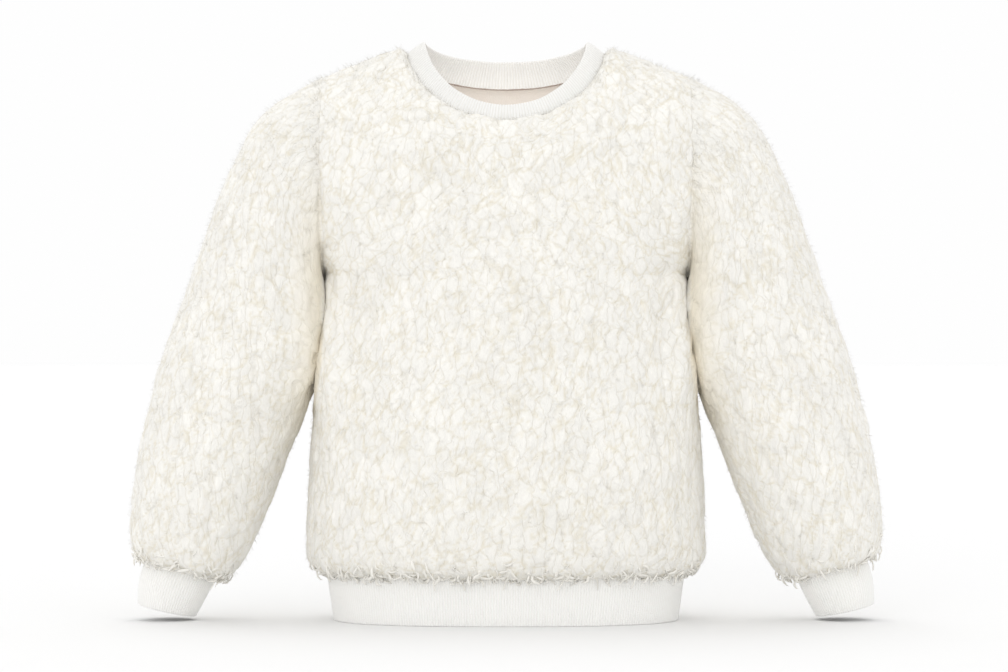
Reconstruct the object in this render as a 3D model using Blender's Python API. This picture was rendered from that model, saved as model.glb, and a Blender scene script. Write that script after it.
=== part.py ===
"""A curly fleece pullover with a ribbed collar, cuffs and hem, filled out as if worn.

Metres, +Z up. The front faces -Y and the wearer's left is +X. The origin is the middle of
the neck, at the height of the collar's highest points. Each cut and sewn piece is one object:
a wall with an outer face at the tips of the pile and an inner face on the backing cloth.
"""

import math
from collections import namedtuple

import bmesh
import bpy
from mathutils import Vector

SEAM_GAP = 0.0003           # between the pieces that are sewn together
PILE_WALL = 0.0135          # backing cloth and curly pile together
RIB_WALL = 0.0026           # rib knit, without its raised ribs
RIB_RISE = 0.0006           # height of a raised rib

PANEL_COLUMNS = 11          # from the middle of a panel to its side
NECK_COLUMNS = 7            # of these, the ones that end at the neck
YOKE_ROWS = 5               # from the underarm to the widest part of the armhole
SHOULDER_ROWS = 6           # from there to the shoulder seam
SLEEVE_COLUMNS = 24         # round a sleeve

BODY_ROUNDNESS = 2.4        # exponent of the body's rounded sections, 2 is an ellipse
HEM_ROUNDNESS = 2.5
ELLIPSE_HANDLE = 0.5523     # handle of a curve that follows a quarter of an ellipse
UNDERARM_RISE = 0.012       # from the last body section to the underarm row, mid panel

# The torso up to the underarm, measured at the tips of the pile
BodySection = namedtuple("BodySection", "height half_width front back")
BODY_SECTIONS = (
    BodySection(-0.546, 0.1890, 0.1130, 0.1090),
    BodySection(-0.539, 0.2000, 0.1240, 0.1195),
    BodySection(-0.526, 0.2060, 0.1300, 0.1245),
    BodySection(-0.500, 0.2058, 0.1320, 0.1250),
    BodySection(-0.451, 0.2040, 0.1330, 0.1245),
    BodySection(-0.400, 0.2010, 0.1330, 0.1230),
    BodySection(-0.364, 0.1958, 0.1325, 0.1210),
    BodySection(-0.328, 0.1885, 0.1320, 0.1195),
    BodySection(-0.290, 0.1832, 0.1310, 0.1185),
    BodySection(-0.262, 0.1812, 0.1300, 0.1180),
    BodySection(-0.243, 0.1822, 0.1290, 0.1180),
)

# The armhole seam is an upright ellipse, parallel to the wearer's side
ARM_PLANE = 0.1880          # its distance from the middle of the body
ARM_TOP = -0.034
ARM_FOOT = -0.235
ARM_HALF_DEPTH = 0.086
CHEST_DEPTH = {"front": 0.124, "back": 0.117}   # mid panel, level with the armhole's middle

# The shoulder line falls from the neck's rim to the armhole, and steepens
SHOULDER_START = 0.108
SHOULDER_HEIGHT = -0.0045
SHOULDER_FALL = 0.30
SHOULDER_BEND = 1.0
SHOULDER_PITCH = math.radians(27)   # slope to the front and back of the line, at the neck
YOKE_HANDLE = 0.38          # fullness of the cloth between chest and neck, as a curve's handle
SLOPED_WALL = 1.07          # a sloped wall's height for each unit of its thickness

# The collar lies between the seam on the body and its free top edge
CollarEdge = namedtuple("CollarEdge", "half_width front back side_z front_z back_z")
COLLAR_SEAM = CollarEdge(0.105, 0.084, 0.070, -0.018, -0.093, -0.045)
COLLAR_TOP = CollarEdge(0.084, 0.066, 0.060, 0.000, -0.069, -0.016)
COLLAR_SOFTNESS = 0.2       # how softly its edges turn down from their high points
COLLAR_BULGE = 0.0015
PILE_ON_COLLAR = 0.30       # share of the collar that the body's wall stands against
COLLAR_CHORD = 0.0009       # the wall's straight edges cut in by this much on the collar's curve
NECK_CROWDING = 1.15        # columns at the neck stand closer near its sides, 1 is even

# The pile is rounded where it meets the collar: how far its crest lies out and up from there
NeckRim = namedtuple("NeckRim", "out front_up side_up back_up")
RIM_OUTSIDE = NeckRim(0.0095, 0.002, 0.0068, 0.005)
RIM_INSIDE = NeckRim(0.0050, -0.005, -0.0009, -0.004)
RIM_SLOPE = {"front": math.radians(38), "back": math.radians(55)}   # mid panel

# Upper end of a panel's column: its slope there, its lean to the side and its fullness
ColumnEnd = namedtuple("ColumnEnd", "point slope lean handle")
CORNER_LEAN = math.radians(45)      # lean where the neck meets the shoulder line

# The sleeve in flat rings, each from its outer point to its point nearest the body
SleeveRing = namedtuple("SleeveRing", "outer_x outer_z inner_x inner_z half_depth shift")
SLEEVE_RINGS = (
    SleeveRing(0.1880, -0.0340, 0.1880, -0.2350, 0.0860, 0.000),
    SleeveRing(0.2110, -0.0470, 0.1868, -0.2400, 0.0865, 0.000),
    SleeveRing(0.2380, -0.0630, 0.1852, -0.2460, 0.0860, 0.000),
    SleeveRing(0.2600, -0.0850, 0.1840, -0.2530, 0.0850, 0.000),
    SleeveRing(0.2770, -0.1170, 0.1832, -0.2640, 0.0838, -0.001),
    SleeveRing(0.2930, -0.1510, 0.1836, -0.2770, 0.0825, -0.002),
    SleeveRing(0.3060, -0.1870, 0.1852, -0.2930, 0.0808, -0.003),
    SleeveRing(0.3190, -0.2240, 0.1880, -0.3120, 0.0790, -0.004),
    SleeveRing(0.3320, -0.2620, 0.1925, -0.3340, 0.0775, -0.005),
    SleeveRing(0.3460, -0.3000, 0.1985, -0.3580, 0.0770, -0.006),
    SleeveRing(0.3580, -0.3350, 0.2075, -0.3900, 0.0758, -0.007),
    SleeveRing(0.3670, -0.3700, 0.2205, -0.4220, 0.0740, -0.008),
    SleeveRing(0.3745, -0.4030, 0.2315, -0.4520, 0.0718, -0.009),
    SleeveRing(0.3805, -0.4360, 0.2425, -0.4800, 0.0690, -0.010),
    SleeveRing(0.3845, -0.4660, 0.2535, -0.5070, 0.0655, -0.011),
    SleeveRing(0.3868, -0.4920, 0.2645, -0.5285, 0.0615, -0.012),
    SleeveRing(0.3868, -0.5090, 0.2730, -0.5410, 0.0572, -0.012),
    SleeveRing(0.3842, -0.5210, 0.2795, -0.5485, 0.0528, -0.012),
    SleeveRing(0.3790, -0.5285, 0.2885, -0.5525, 0.0460, -0.012),
)
CUFF_RINGS = (
    SleeveRing(0.3695, -0.5315, 0.2982, -0.5505, 0.0355, -0.012),
    SleeveRing(0.3765, -0.5560, 0.3085, -0.5720, 0.0335, -0.0125),
    SleeveRing(0.3772, -0.5775, 0.3188, -0.5905, 0.0292, -0.013),
)

HEM_TOP = BodySection(-0.546 - SEAM_GAP, 0.1832, 0.1065, 0.1025)
HEM_FOOT = BodySection(-0.594, 0.1765, 0.1020, 0.0985)

RIBS = {"hem": 345, "collar": 190, "cuff": 78}
POINTS_ON_RIB = 2
INNER_SPACING = {"hem": 5, "collar": 4, "cuff": 4}      # outer points for one inside point
ANGLE_STEPS = 1440          # steps that a round outline is measured in

FLEECE = (0.89, 0.865, 0.80)
RIB_KNIT = (0.88, 0.865, 0.825)


def blend(start, end, share):
    """Value or point a share of the way from start to end."""
    return start + (end - start) * share


def curve_point(start, start_handle, end_handle, end, share):
    """Point on a cubic curve with two handles."""
    rest = 1.0 - share
    return (start * rest ** 3 + start_handle * (3 * rest ** 2 * share)
            + end_handle * (3 * rest * share ** 2) + end * share ** 3)


def powered(value, exponent):
    """Power that keeps the sign."""
    return math.copysign(abs(value) ** exponent, value)


def clear_scene():
    for item in list(bpy.data.objects):
        bpy.data.objects.remove(item, do_unlink=True)


def fabric(name, colour, roughness):
    """Plain cloth material."""
    material = bpy.data.materials.new(name)
    material.use_nodes = True
    shader = material.node_tree.nodes["Principled BSDF"]
    shader.inputs["Base Color"].default_value = (*colour, 1.0)
    shader.inputs["Roughness"].default_value = roughness
    shader.inputs["Metallic"].default_value = 0.0
    return material


def finish_piece(name, mesh_data, material, garment):
    """Close a bmesh into an object that hangs on the garment's empty."""
    bmesh.ops.recalc_face_normals(mesh_data, faces=mesh_data.faces)
    mesh = bpy.data.meshes.new(name)
    mesh_data.to_mesh(mesh)
    mesh_data.free()
    mesh.materials.append(material)
    mesh.shade_smooth()
    mesh.set_sharp_from_angle(angle=math.radians(50))
    piece = bpy.data.objects.new(name, mesh)
    piece.parent = garment
    bpy.context.collection.objects.link(piece)
    return piece


def walled_piece(name, outer, inner, faces, material, garment):
    """Closed wall between two skins of points that share their list of faces."""
    mesh_data = bmesh.new()
    outer_skin = [mesh_data.verts.new(point) for point in outer]
    inner_skin = [mesh_data.verts.new(point) for point in inner]
    for skin in (outer_skin, inner_skin):
        for face in faces:
            mesh_data.faces.new([skin[corner] for corner in face])
    partner = dict(zip(outer_skin, inner_skin))
    rim = [edge for edge in mesh_data.edges if edge.is_boundary and edge.verts[0] in partner]
    for edge in rim:
        first, second = edge.verts
        mesh_data.faces.new((first, second, partner[second], partner[first]))
    return finish_piece(name, mesh_data, material, garment)


def shoulder_height(distance):
    """Height of the pile's tips along the shoulder line."""
    run = distance - SHOULDER_START
    return SHOULDER_HEIGHT - SHOULDER_FALL * run - SHOULDER_BEND * run * run


def armhole(angle, inset):
    """Depth and height on the armhole's ellipse, with angle 0 at its widest place."""
    middle = (ARM_TOP + ARM_FOOT) / 2
    half_height = (ARM_TOP - ARM_FOOT) / 2 - inset
    return (ARM_HALF_DEPTH - inset) * math.cos(angle), middle + half_height * math.sin(angle)


def collar_edge_point(edge, angle):
    """Point of a collar edge, with angle 0 at the middle of the front."""
    forward = math.cos(angle)
    dip = ((math.hypot(forward, COLLAR_SOFTNESS) - COLLAR_SOFTNESS)
           / (math.hypot(1.0, COLLAR_SOFTNESS) - COLLAR_SOFTNESS))
    depth = edge.front if forward >= 0 else edge.back
    low = edge.front_z if forward >= 0 else edge.back_z
    return Vector((edge.half_width * math.sin(angle), -depth * forward,
                   blend(edge.side_z, low, dip)))


def collar_point(angle, share, lift):
    """Point of the collar band: share 0 at its seam, 1 at its top edge, lift off its face."""
    step = 0.01
    seam = collar_edge_point(COLLAR_SEAM, angle)
    top = collar_edge_point(COLLAR_TOP, angle)
    ahead = blend(collar_edge_point(COLLAR_SEAM, angle + step),
                  collar_edge_point(COLLAR_TOP, angle + step), share)
    behind = blend(collar_edge_point(COLLAR_SEAM, angle - step),
                   collar_edge_point(COLLAR_TOP, angle - step), share)
    outward = (ahead - behind).cross(top - seam).normalized()
    bulge = COLLAR_BULGE * math.sin(math.pi * share)
    return blend(seam, top, share) + outward * (lift + bulge)


def section_row(section, inset, half):
    """Half a body section from the panel's middle to the side: width, depth, height."""
    depth = (section.front if half == "front" else section.back) - inset
    power = 2 / BODY_ROUNDNESS
    row = []
    for column in range(PANEL_COLUMNS + 1):
        angle = math.pi / 2 * column / PANEL_COLUMNS
        width = (section.half_width - inset) * math.sin(angle) ** power
        row.append(Vector((width, depth * max(math.cos(angle), 0.0) ** power, section.height)))
    return row


def yoke_row(step, inset, half):
    """Half a row that ends on the lower half of the armhole."""
    rise = step / YOKE_ROWS
    arm_depth, arm_height = armhole(-math.pi / 2 * (1 - rise), inset)
    last = BODY_SECTIONS[-1]
    low_depth = (last.front if half == "front" else last.back) - inset
    mid_depth = blend(low_depth, CHEST_DEPTH[half] - inset, rise)
    mid_height = blend(last.height + UNDERARM_RISE, (ARM_TOP + ARM_FOOT) / 2, rise)
    flatness = blend(BODY_ROUNDNESS, 1.2, rise)
    row = []
    for column in range(PANEL_COLUMNS + 1):
        even = column / PANEL_COLUMNS
        crowded = math.sin(math.pi / 2 * even) ** (2 / BODY_ROUNDNESS)
        reach = blend(crowded, even, rise)
        fullness = max(1 - reach ** BODY_ROUNDNESS, 0.0) ** (1 / flatness)
        row.append(Vector(((ARM_PLANE - SEAM_GAP / 2) * reach,
                           blend(arm_depth, mid_depth, fullness),
                           blend(mid_height, arm_height, reach ** 3))))
    return row


def neck_turn(column):
    """Angle from the middle of the front or back at which a column meets the neck."""
    left = 1 - column / NECK_COLUMNS
    return math.pi / 2 * (1 - left ** NECK_CROWDING)


def neck_rim(angle, inset):
    """Crest of the pile beside the collar, and the wall's edge against the collar."""
    share = 0.0 if inset else PILE_ON_COLLAR
    rim = RIM_INSIDE if inset else RIM_OUTSIDE
    edge = collar_point(angle, share, RIB_RISE + SEAM_GAP + COLLAR_CHORD)
    forward = math.cos(angle)
    low_up = rim.front_up if forward >= 0 else rim.back_up
    outward = Vector((math.sin(angle), -forward, 0.0))
    crest = edge + outward * rim.out
    crest.z += blend(rim.side_up, low_up, abs(forward))
    return crest, edge


def top_line(inset, half):
    """Upper ends of a panel's columns, along the neck's rim and then the shoulder line."""
    ends = []
    for column in range(PANEL_COLUMNS + 1):
        if column <= NECK_COLUMNS:
            turn = neck_turn(column)
            angle = turn if half == "front" else math.pi - turn
            crest = neck_rim(angle, inset)[0]
            slope = blend(SHOULDER_PITCH, RIM_SLOPE[half], math.cos(turn))
            lean = CORNER_LEAN * turn / (math.pi / 2)
            point = Vector((crest.x, abs(crest.y), crest.z))
            ends.append(ColumnEnd(point, slope, lean, YOKE_HANDLE))
        else:
            along = (column - NECK_COLUMNS) / (PANEL_COLUMNS - NECK_COLUMNS)
            distance = blend(ends[NECK_COLUMNS].point.x, ARM_PLANE - SEAM_GAP / 2, along)
            point = Vector((distance, 0.0, shoulder_height(distance) - inset * SLOPED_WALL))
            ends.append(ColumnEnd(point, blend(SHOULDER_PITCH, 0.0, along),
                                  blend(CORNER_LEAN, 0.0, along),
                                  blend(YOKE_HANDLE, ELLIPSE_HANDLE, along)))
    ends[-1].point.z = armhole(math.pi / 2, inset)[1]
    return ends


def shoulder_rows(start_row, inset, half):
    """Rows from the widest part of the armhole up to the neck's rim and the shoulder line."""
    ends = top_line(inset, half)
    rows = []
    for step in range(1, SHOULDER_ROWS + 1):
        row = []
        for start, end in zip(start_row, ends):
            start_handle = start + Vector((0, 0, end.handle * (end.point.z - start.z)))
            level = math.cos(end.slope)
            pull = Vector((level * math.sin(end.lean), level * math.cos(end.lean),
                           -math.sin(end.slope)))
            end_handle = end.point + pull * end.handle * (start.y - end.point.y)
            row.append(curve_point(start, start_handle, end_handle, end.point,
                                   step / SHOULDER_ROWS))
        rows.append(row)
    return rows


def neck_row(inset, half):
    """Edge of the wall that stands against the collar."""
    row = []
    for column in range(NECK_COLUMNS + 1):
        turn = neck_turn(column)
        angle = turn if half == "front" else math.pi - turn
        edge = neck_rim(angle, inset)[1]
        row.append(Vector((edge.x, abs(edge.y), edge.z)))
    return row


def mirrored(row, half):
    """Whole row from half a row: both sides of the panel, on the front or on the back."""
    facing = -1 if half == "front" else 1
    whole = [Vector((-point.x, point.y, point.z)) for point in reversed(row[1:])] + list(row)
    return [Vector((p.x, facing * max(p.y, SEAM_GAP / 2), p.z)) for p in whole]


def panel_points(inset, half):
    """All points of one face of a body panel, row by row from the hem, the neck row last."""
    rows = [section_row(section, inset, half) for section in BODY_SECTIONS]
    rows += [yoke_row(step, inset, half) for step in range(YOKE_ROWS + 1)]
    rows += shoulder_rows(rows[-1], inset, half)
    rows.append(neck_row(inset, half))
    return [point for row in rows for point in mirrored(row, half)]


def panel_faces():
    """Faces of a body panel, as numbers of the points that panel_points lists."""
    across = 2 * PANEL_COLUMNS + 1
    row_count = len(BODY_SECTIONS) + YOKE_ROWS + 1 + SHOULDER_ROWS
    faces = []
    for row in range(row_count - 1):
        for column in range(across - 1):
            corner = row * across + column
            faces.append((corner, corner + 1, corner + 1 + across, corner + across))
    crest = (row_count - 1) * across + PANEL_COLUMNS - NECK_COLUMNS
    edge = row_count * across
    for column in range(2 * NECK_COLUMNS):
        faces.append((crest + column, crest + column + 1, edge + column + 1, edge + column))
    return faces


def make_panel(half, material, garment):
    """Front or back of the body, from the hem seam to the shoulder seams and the neck."""
    return walled_piece(half, panel_points(0.0, half), panel_points(PILE_WALL, half),
                        panel_faces(), material, garment)


def ring_point(ring, turn, inset, side):
    """Point of a sleeve or cuff ring, with turn 0 at its outer point, on side +1 or -1."""
    outer = Vector((ring.outer_x, 0, ring.outer_z))
    inner = Vector((ring.inner_x, 0, ring.inner_z))
    half_length = (outer - inner).length / 2
    along = (outer - inner).normalized() * (half_length - inset) * math.cos(turn)
    point = (outer + inner) / 2 + along
    point.y = ring.shift + (ring.half_depth - inset) * math.sin(turn)
    return Vector((side * point.x, point.y, point.z))


def sleeve_points(inset, side):
    points = []
    for number, ring in enumerate(SLEEVE_RINGS):
        start = SEAM_GAP / 2 * side if number == 0 else 0.0
        for column in range(SLEEVE_COLUMNS):
            point = ring_point(ring, math.tau * column / SLEEVE_COLUMNS, inset, side)
            points.append(point + Vector((start, 0, 0)))
    return points


def sleeve_faces():
    faces = []
    for row in range(len(SLEEVE_RINGS) - 1):
        for column in range(SLEEVE_COLUMNS):
            here = row * SLEEVE_COLUMNS + column
            beside = row * SLEEVE_COLUMNS + (column + 1) % SLEEVE_COLUMNS
            faces.append((here, beside, beside + SLEEVE_COLUMNS, here + SLEEVE_COLUMNS))
    return faces


def make_sleeve(name, side, material, garment):
    """Sleeve from the armhole seam to the cuff seam, on the wearer's left (+1) or right."""
    return walled_piece(name, sleeve_points(0.0, side), sleeve_points(PILE_WALL, side),
                        sleeve_faces(), material, garment)


def cuff_point(angle, share, lift, side):
    """Point of a cuff: share 0 at its free edge, 1 at the sleeve, lift off its face."""
    place = (1 - share) * (len(CUFF_RINGS) - 1)
    number = min(int(place), len(CUFF_RINGS) - 2)
    points = [ring_point(ring, angle, -lift, side) for ring in CUFF_RINGS[number:number + 2]]
    return blend(points[0], points[1], place - number)


def hem_point(angle, share, lift):
    """Point of the hem rib: share 0 at its free edge, 1 at the body, lift off its face."""
    forward = math.cos(angle)
    power = 2 / HEM_ROUNDNESS
    half_width = blend(HEM_FOOT.half_width, HEM_TOP.half_width, share) + lift
    foot_depth = HEM_FOOT.front if forward >= 0 else HEM_FOOT.back
    top_depth = HEM_TOP.front if forward >= 0 else HEM_TOP.back
    depth = blend(foot_depth, top_depth, share) + lift
    return Vector((half_width * powered(math.sin(angle), power), -depth * powered(forward, power),
                   blend(HEM_FOOT.height, HEM_TOP.height, share)))


def even_angles(outline, count):
    """Angles that part a closed outline into steps of equal length."""
    points = [outline(math.tau * step / ANGLE_STEPS) for step in range(ANGLE_STEPS + 1)]
    lengths = [0.0]
    for before, after in zip(points, points[1:]):
        lengths.append(lengths[-1] + (after - before).length)
    angles = []
    step = 0
    for number in range(count):
        target = lengths[-1] * number / count
        while lengths[step + 1] < target:
            step += 1
        share = (target - lengths[step]) / (lengths[step + 1] - lengths[step])
        angles.append(math.tau * (step + share) / ANGLE_STEPS)
    return angles


def band_caps(mesh_data, outer_ring, inner_ring, spacing):
    """Close the edge of a band between its ribbed ring and its plainer inside ring."""
    count = len(outer_ring)
    for number, inside in enumerate(inner_ring):
        first = number * spacing
        for step in range(spacing):
            mesh_data.faces.new((inside, outer_ring[first + step],
                                 outer_ring[(first + step + 1) % count]))
        next_inside = inner_ring[(number + 1) % len(inner_ring)]
        mesh_data.faces.new((inside, outer_ring[(first + spacing) % count], next_inside))


def make_band(name, kind, surface, shares, material, garment):
    """Closed band of rib knit: raised ribs outside, a plain face inside."""
    count = RIBS[kind] * POINTS_ON_RIB
    spacing = INNER_SPACING[kind]
    angles = even_angles(lambda angle: surface(angle, 0.5, 0.0), count)
    mesh_data = bmesh.new()
    outer_rings = []
    inner_rings = []
    for share in shares:
        outer_rings.append([
            mesh_data.verts.new(surface(angle, share, RIB_RISE * (number % POINTS_ON_RIB)))
            for number, angle in enumerate(angles)])
        inner_rings.append([mesh_data.verts.new(surface(angle, share, -RIB_WALL))
                            for angle in angles[::spacing]])
    for rings in (outer_rings, inner_rings):
        for low, high in zip(rings, rings[1:]):
            for number in range(len(low)):
                after = (number + 1) % len(low)
                mesh_data.faces.new((low[number], low[after], high[after], high[number]))
    for end in (0, -1):
        band_caps(mesh_data, outer_rings[end], inner_rings[end], spacing)
    return finish_piece(name, mesh_data, material, garment)


def main():
    clear_scene()
    fleece = fabric("curly fleece", FLEECE, 0.95)
    rib_knit = fabric("rib knit", RIB_KNIT, 0.9)
    garment = bpy.data.objects.new("sweatshirt", None)
    bpy.context.collection.objects.link(garment)

    for half in ("front", "back"):
        make_panel(half, fleece, garment)
    for name, side in (("left", 1), ("right", -1)):
        make_sleeve("sleeve_" + name, side, fleece, garment)
        make_band("cuff_" + name, "cuff",
                  lambda angle, share, lift, side=side: cuff_point(angle, share, lift, side),
                  (0.0, 0.5, 1.0), rib_knit, garment)
    make_band("collar", "collar", collar_point, (0.0, 0.5, 1.0), rib_knit, garment)
    make_band("hem", "hem", hem_point, (0.0, 1.0), rib_knit, garment)


main()
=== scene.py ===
# Cream pullover of curly pile fleece with rib knit edges, filled out as worn

import math
from functools import partial
from itertools import product

import bmesh
import bpy
import numpy as np
from mathutils.kdtree import KDTree
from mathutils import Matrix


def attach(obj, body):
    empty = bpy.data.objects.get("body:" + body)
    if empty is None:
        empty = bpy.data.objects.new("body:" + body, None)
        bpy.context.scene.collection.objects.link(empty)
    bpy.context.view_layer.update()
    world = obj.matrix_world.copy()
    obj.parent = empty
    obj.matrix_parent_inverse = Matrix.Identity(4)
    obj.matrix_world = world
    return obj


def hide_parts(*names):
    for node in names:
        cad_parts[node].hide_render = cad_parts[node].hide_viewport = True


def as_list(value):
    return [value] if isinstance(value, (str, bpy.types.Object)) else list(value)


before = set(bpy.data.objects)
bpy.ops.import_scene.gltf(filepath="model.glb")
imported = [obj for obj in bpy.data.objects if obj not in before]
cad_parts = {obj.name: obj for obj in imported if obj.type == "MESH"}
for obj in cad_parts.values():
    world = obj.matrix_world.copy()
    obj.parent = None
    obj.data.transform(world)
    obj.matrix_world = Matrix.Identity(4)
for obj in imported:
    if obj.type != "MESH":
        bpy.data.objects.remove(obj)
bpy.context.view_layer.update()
print("frame loaded:", ", ".join(sorted(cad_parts)))


# Lengths that the whole garment shares, in metres

garment = {
    "seamGap": 0.0003,
    "pileWall": 0.0135,  # backing cloth and pile together
    "clothThickness": 0.0015,
    "ribWall": 0.0026,
    "floorHeight": -0.594,
    "seed": 4711,
}


# Small helpers for points and rows

def blend(start, end, share):
    return start + (end - start) * share


def unit(vectors):
    length = np.linalg.norm(vectors, axis=-1, keepdims=True)
    return vectors / np.maximum(length, 1e-9)


def points(x, y, z):
    return np.stack(np.broadcast_arrays(x, y, z), axis=-1).astype(float)


def smoothRows(rows, steps):
    # a soft curve through the rows, with so many steps between each two
    rows = np.asarray(rows, float)
    guide = np.concatenate([2 * rows[:1] - rows[1:2], rows, 2 * rows[-1:] - rows[-2:-1]])
    made = [0.5 * (2 * b + (c - a) * t + (2 * a - 5 * b + 4 * c - d) * t ** 2
                   + (3 * b - a - 3 * c + d) * t ** 3)
            for a, b, c, d in zip(guide, guide[1:], guide[2:], guide[3:])
            for t in (step / steps for step in range(steps))]
    return np.array(made + [rows[-1]])


def evenAngles(outline, count):
    # angles that part a closed outline into equal lengths
    turns = np.linspace(0, math.tau, 2881)
    run = runOver(outline(turns), 0)
    return np.interp(np.arange(count) / count * run[-1], run, turns)


def runOver(grid, axis):
    # lengths over a grid of points from its first row or column
    steps = np.linalg.norm(np.diff(grid, axis=axis), axis=-1)
    return np.insert(np.cumsum(steps, axis=axis), 0, 0, axis=axis)


def closeUp(grid):
    # the grid with its first column again at its end
    return np.concatenate([grid, grid[:, :1]], axis=1)


def cornersOf(grid):
    # the four corners of each cell, in order round it
    return np.stack([grid[:-1, :-1], grid[:-1, 1:], grid[1:, 1:], grid[1:, :-1]], axis=2)


def addObject(name, content, place=(0, 0, 0)):
    made = bpy.data.objects.new(name, content)
    made.location = place
    bpy.context.collection.objects.link(made)
    return made


def newMesh(name, places, loops, totals, uvName, uvs):
    # loops are the points of each face's corners, and totals how many corners it has
    mesh = bpy.data.meshes.new(name)
    mesh.vertices.add(len(places))
    mesh.vertices.foreach_set("co", places.astype(np.float32).ravel())
    mesh.loops.add(len(loops))
    mesh.loops.foreach_set("vertex_index", loops.astype(np.int32))
    mesh.polygons.add(len(totals))
    mesh.polygons.foreach_set("loop_start", (np.cumsum(totals) - totals).astype(np.int32))
    mesh.polygons.foreach_set("loop_total", totals.astype(np.int32))
    mesh.update(calc_edges=True)
    mesh.uv_layers.new(name=uvName).data.foreach_set("uv", uvs.astype(np.float32).ravel())
    mesh.shade_smooth()
    return mesh


def pointOutwards(mesh):
    shell = bmesh.new()
    shell.from_mesh(mesh)
    bmesh.ops.recalc_face_normals(shell, faces=shell.faces)
    shell.to_mesh(mesh)
    shell.free()


# Collar surface, from its seam on the body to its free top edge

collarForm = {
    "seam": (0.105, 0.084, 0.070, -0.018, -0.093, -0.045),  # width, front, back, then heights
    "top": (0.084, 0.066, 0.060, 0.000, -0.069, -0.016),
    "softness": 0.2,
    "bulge": 0.0015,
}


def collarEdge(edge, angle):
    width, front, back, sideHeight, frontHeight, backHeight = edge
    soft = collarForm["softness"]
    forward = np.cos(angle)
    dip = (np.hypot(forward, soft) - soft) / (math.hypot(1, soft) - soft)
    depth = np.where(forward >= 0, front, back)
    low = np.where(forward >= 0, frontHeight, backHeight)
    return points(width * np.sin(angle), -depth * forward, blend(sideHeight, low, dip))


def collarPoint(angle, share, lift):
    step = 0.01
    share, lift = (value[..., None] if np.ndim(value) else value for value in (share, lift))

    def at(turn):
        seam, top = (collarEdge(collarForm[edge], turn) for edge in ("seam", "top"))
        return blend(seam, top, share), top - seam

    place, up = at(angle)
    outward = unit(np.cross(at(angle + step)[0] - at(angle - step)[0], up))
    return place + outward * (lift + collarForm["bulge"] * np.sin(math.pi * share))


# Body panels: the torso's sections, the yoke beside the armhole and the shoulders

bodyForm = {
    # height, half width, front and back depth at the tips of the pile
    "sections": (
        (-0.546, 0.1890, 0.1130, 0.1090), (-0.539, 0.2000, 0.1240, 0.1195),
        (-0.526, 0.2060, 0.1300, 0.1245), (-0.500, 0.2058, 0.1320, 0.1250),
        (-0.451, 0.2040, 0.1330, 0.1245), (-0.400, 0.2010, 0.1330, 0.1230),
        (-0.364, 0.1958, 0.1325, 0.1210), (-0.328, 0.1885, 0.1320, 0.1195),
        (-0.290, 0.1832, 0.1310, 0.1185), (-0.262, 0.1812, 0.1300, 0.1180),
        (-0.243, 0.1822, 0.1290, 0.1180),
    ),
    "roundness": 2.4,
    "armPlane": 0.1880,
    "armTop": -0.034,
    "armFoot": -0.235,
    "armHalfDepth": 0.086,
    "chestDepth": {"front": 0.124, "back": 0.117},
    "underarmRise": 0.012,
    "shoulder": (0.108, -0.0045, 0.30, 1.0),  # start, height, fall and bend of its line
    "shoulderPitch": math.radians(27),
    "yokeHandle": 0.38,
    "ellipseHandle": 0.5523,
    "slopedWall": 1.07,
    "cornerLean": math.radians(45),
    "pileOnCollar": 0.30,
    "rimGap": 0.0018,
    "neckCrowding": 1.15,
    "rimOutside": (0.0095, 0.002, 0.0068, 0.005),  # out, then up in front, at the side, behind
    "rimInside": (0.0050, -0.005, -0.0009, -0.004),
    "rimSlope": {"front": math.radians(38), "back": math.radians(55)},
    "columns": 11,
    "neckColumns": 7,
    "yokeRows": 5,
    "shoulderRows": 6,
    "finer": 4,  # columns and rows here for each one of the plain form
}


def armhole(angle, inset):
    top, foot = bodyForm["armTop"], bodyForm["armFoot"]
    depth = (bodyForm["armHalfDepth"] - inset) * math.cos(angle)
    return depth, (top + foot) / 2 + ((top - foot) / 2 - inset) * math.sin(angle)


def neckTurn(column):
    left = max(1 - column / bodyForm["neckColumns"], 0.0)
    return math.pi / 2 * (1 - left ** bodyForm["neckCrowding"])


def neckRim(angle, inset):
    # crest of the pile beside the collar, and the edge that stands against the collar
    share = 0.0 if inset else bodyForm["pileOnCollar"]
    out, frontUp, sideUp, backUp = bodyForm["rimInside" if inset else "rimOutside"]
    edge = collarPoint(np.array([angle]), share, bodyForm["rimGap"])[0]
    forward = math.cos(angle)
    crest = edge + np.array([math.sin(angle), -forward, 0.0]) * out
    crest[2] += blend(sideUp, frontUp if forward >= 0 else backUp, abs(forward))
    return crest, edge


def topEnds(half, inset, columns):
    # where each column of a panel ends: along the neck and then along the shoulder
    form = bodyForm
    start, height, fall, bend = form["shoulder"]
    neckEdge = neckRim(neckTurn(form["neckColumns"]), inset)[0][0]
    ends = []
    for column in columns:
        if column <= form["neckColumns"]:
            turn = neckTurn(column)
            crest = neckRim(turn if half == "front" else math.pi - turn, inset)[0]
            slope = blend(form["shoulderPitch"], form["rimSlope"][half], math.cos(turn))
            ends.append(((crest[0], abs(crest[1]), crest[2]), slope,
                         form["cornerLean"] * turn / (math.pi / 2), form["yokeHandle"]))
        else:
            along = (column - form["neckColumns"]) / (form["columns"] - form["neckColumns"])
            across = blend(neckEdge, form["armPlane"] - garment["seamGap"] / 2, along)
            run = across - start
            high = height - fall * run - bend * run * run - inset * form["slopedWall"]
            if column == form["columns"]:
                high = armhole(math.pi / 2, inset)[1]
            ends.append(((across, 0.0, high), blend(form["shoulderPitch"], 0.0, along),
                         blend(form["cornerLean"], 0.0, along),
                         blend(form["yokeHandle"], form["ellipseHandle"], along)))
    return ends


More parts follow.
